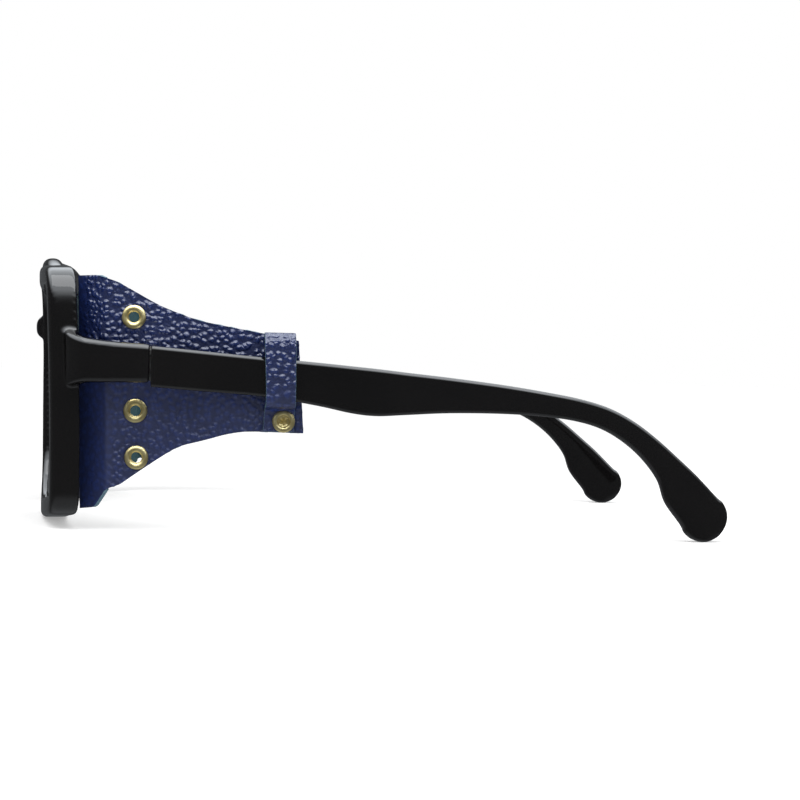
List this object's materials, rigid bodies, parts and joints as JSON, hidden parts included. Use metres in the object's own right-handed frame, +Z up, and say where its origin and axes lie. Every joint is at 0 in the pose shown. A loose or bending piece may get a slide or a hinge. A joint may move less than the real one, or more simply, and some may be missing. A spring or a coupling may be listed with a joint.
{
  "type": "glacier glasses",
  "caption": "Sunglasses for snow and ice with wide rims, folding temples and vented leather shields that close the sides.",
  "frame": {"origin": "under the middle of the box that the open glasses fill, on the surface that the rims and the temple tips stand on", "axes": "+Z up, the lenses look along -Y, the temples run back along +Y, +X is the wearer's left"},
  "size_m": [0.1478, 0.1676, 0.0641],
  "materials": {
    "frame": "polished black acetate",
    "lens": "very dark grey-brown sun lens",
    "leather": "pebble-grained navy leather, teal flesh side",
    "brass": "pale polished brass",
    "steel": "nickel silver hinge metal"
  },
  "bodies": {
    "front": {"front_frame": "frame", "lens_left": "lens", "lens_right": "lens", "nose_pad_left": "frame", "nose_pad_right": "frame", "front_leaf_left": "steel", "front_leaf_right": "steel", "hinge_screw_left": "steel", "hinge_screw_right": "steel", "shield_front_left": "leather", "shield_front_right": "leather", "vent_eyelets_left": "brass", "vent_eyelets_right": "brass", "vent_washers_left": "brass", "vent_washers_right": "brass", "shield_flex_left": "leather", "shield_flex_right": "leather"},
    "temple_arm_left": {"temple_left": "frame", "temple_core_left": "steel", "temple_leaf_left": "steel", "shield_rear_left": "leather", "strap_left": "leather", "strap_rivet_left": "brass", "rivet_cap_left": "brass"},
    "temple_arm_right": {"temple_right": "frame", "temple_core_right": "steel", "temple_leaf_right": "steel", "shield_rear_right": "leather", "strap_right": "leather", "strap_rivet_right": "brass", "rivet_cap_right": "brass"}
  },
  "joints": [
    {"name": "hinge_left", "type": "hinge", "parent": "front", "child": "temple_arm_left", "pos_m": [0.0664, -0.051, 0.0377], "axis": [0, 0, 1], "range_deg": [0, 87], "deforming": ["shield_flex_left"]},
    {"name": "hinge_right", "type": "hinge", "parent": "front", "child": "temple_arm_right", "pos_m": [-0.0664, -0.051, 0.0377], "axis": [0, 0, -1], "range_deg": [0, 63], "deforming": ["shield_flex_right"]}
  ]
}
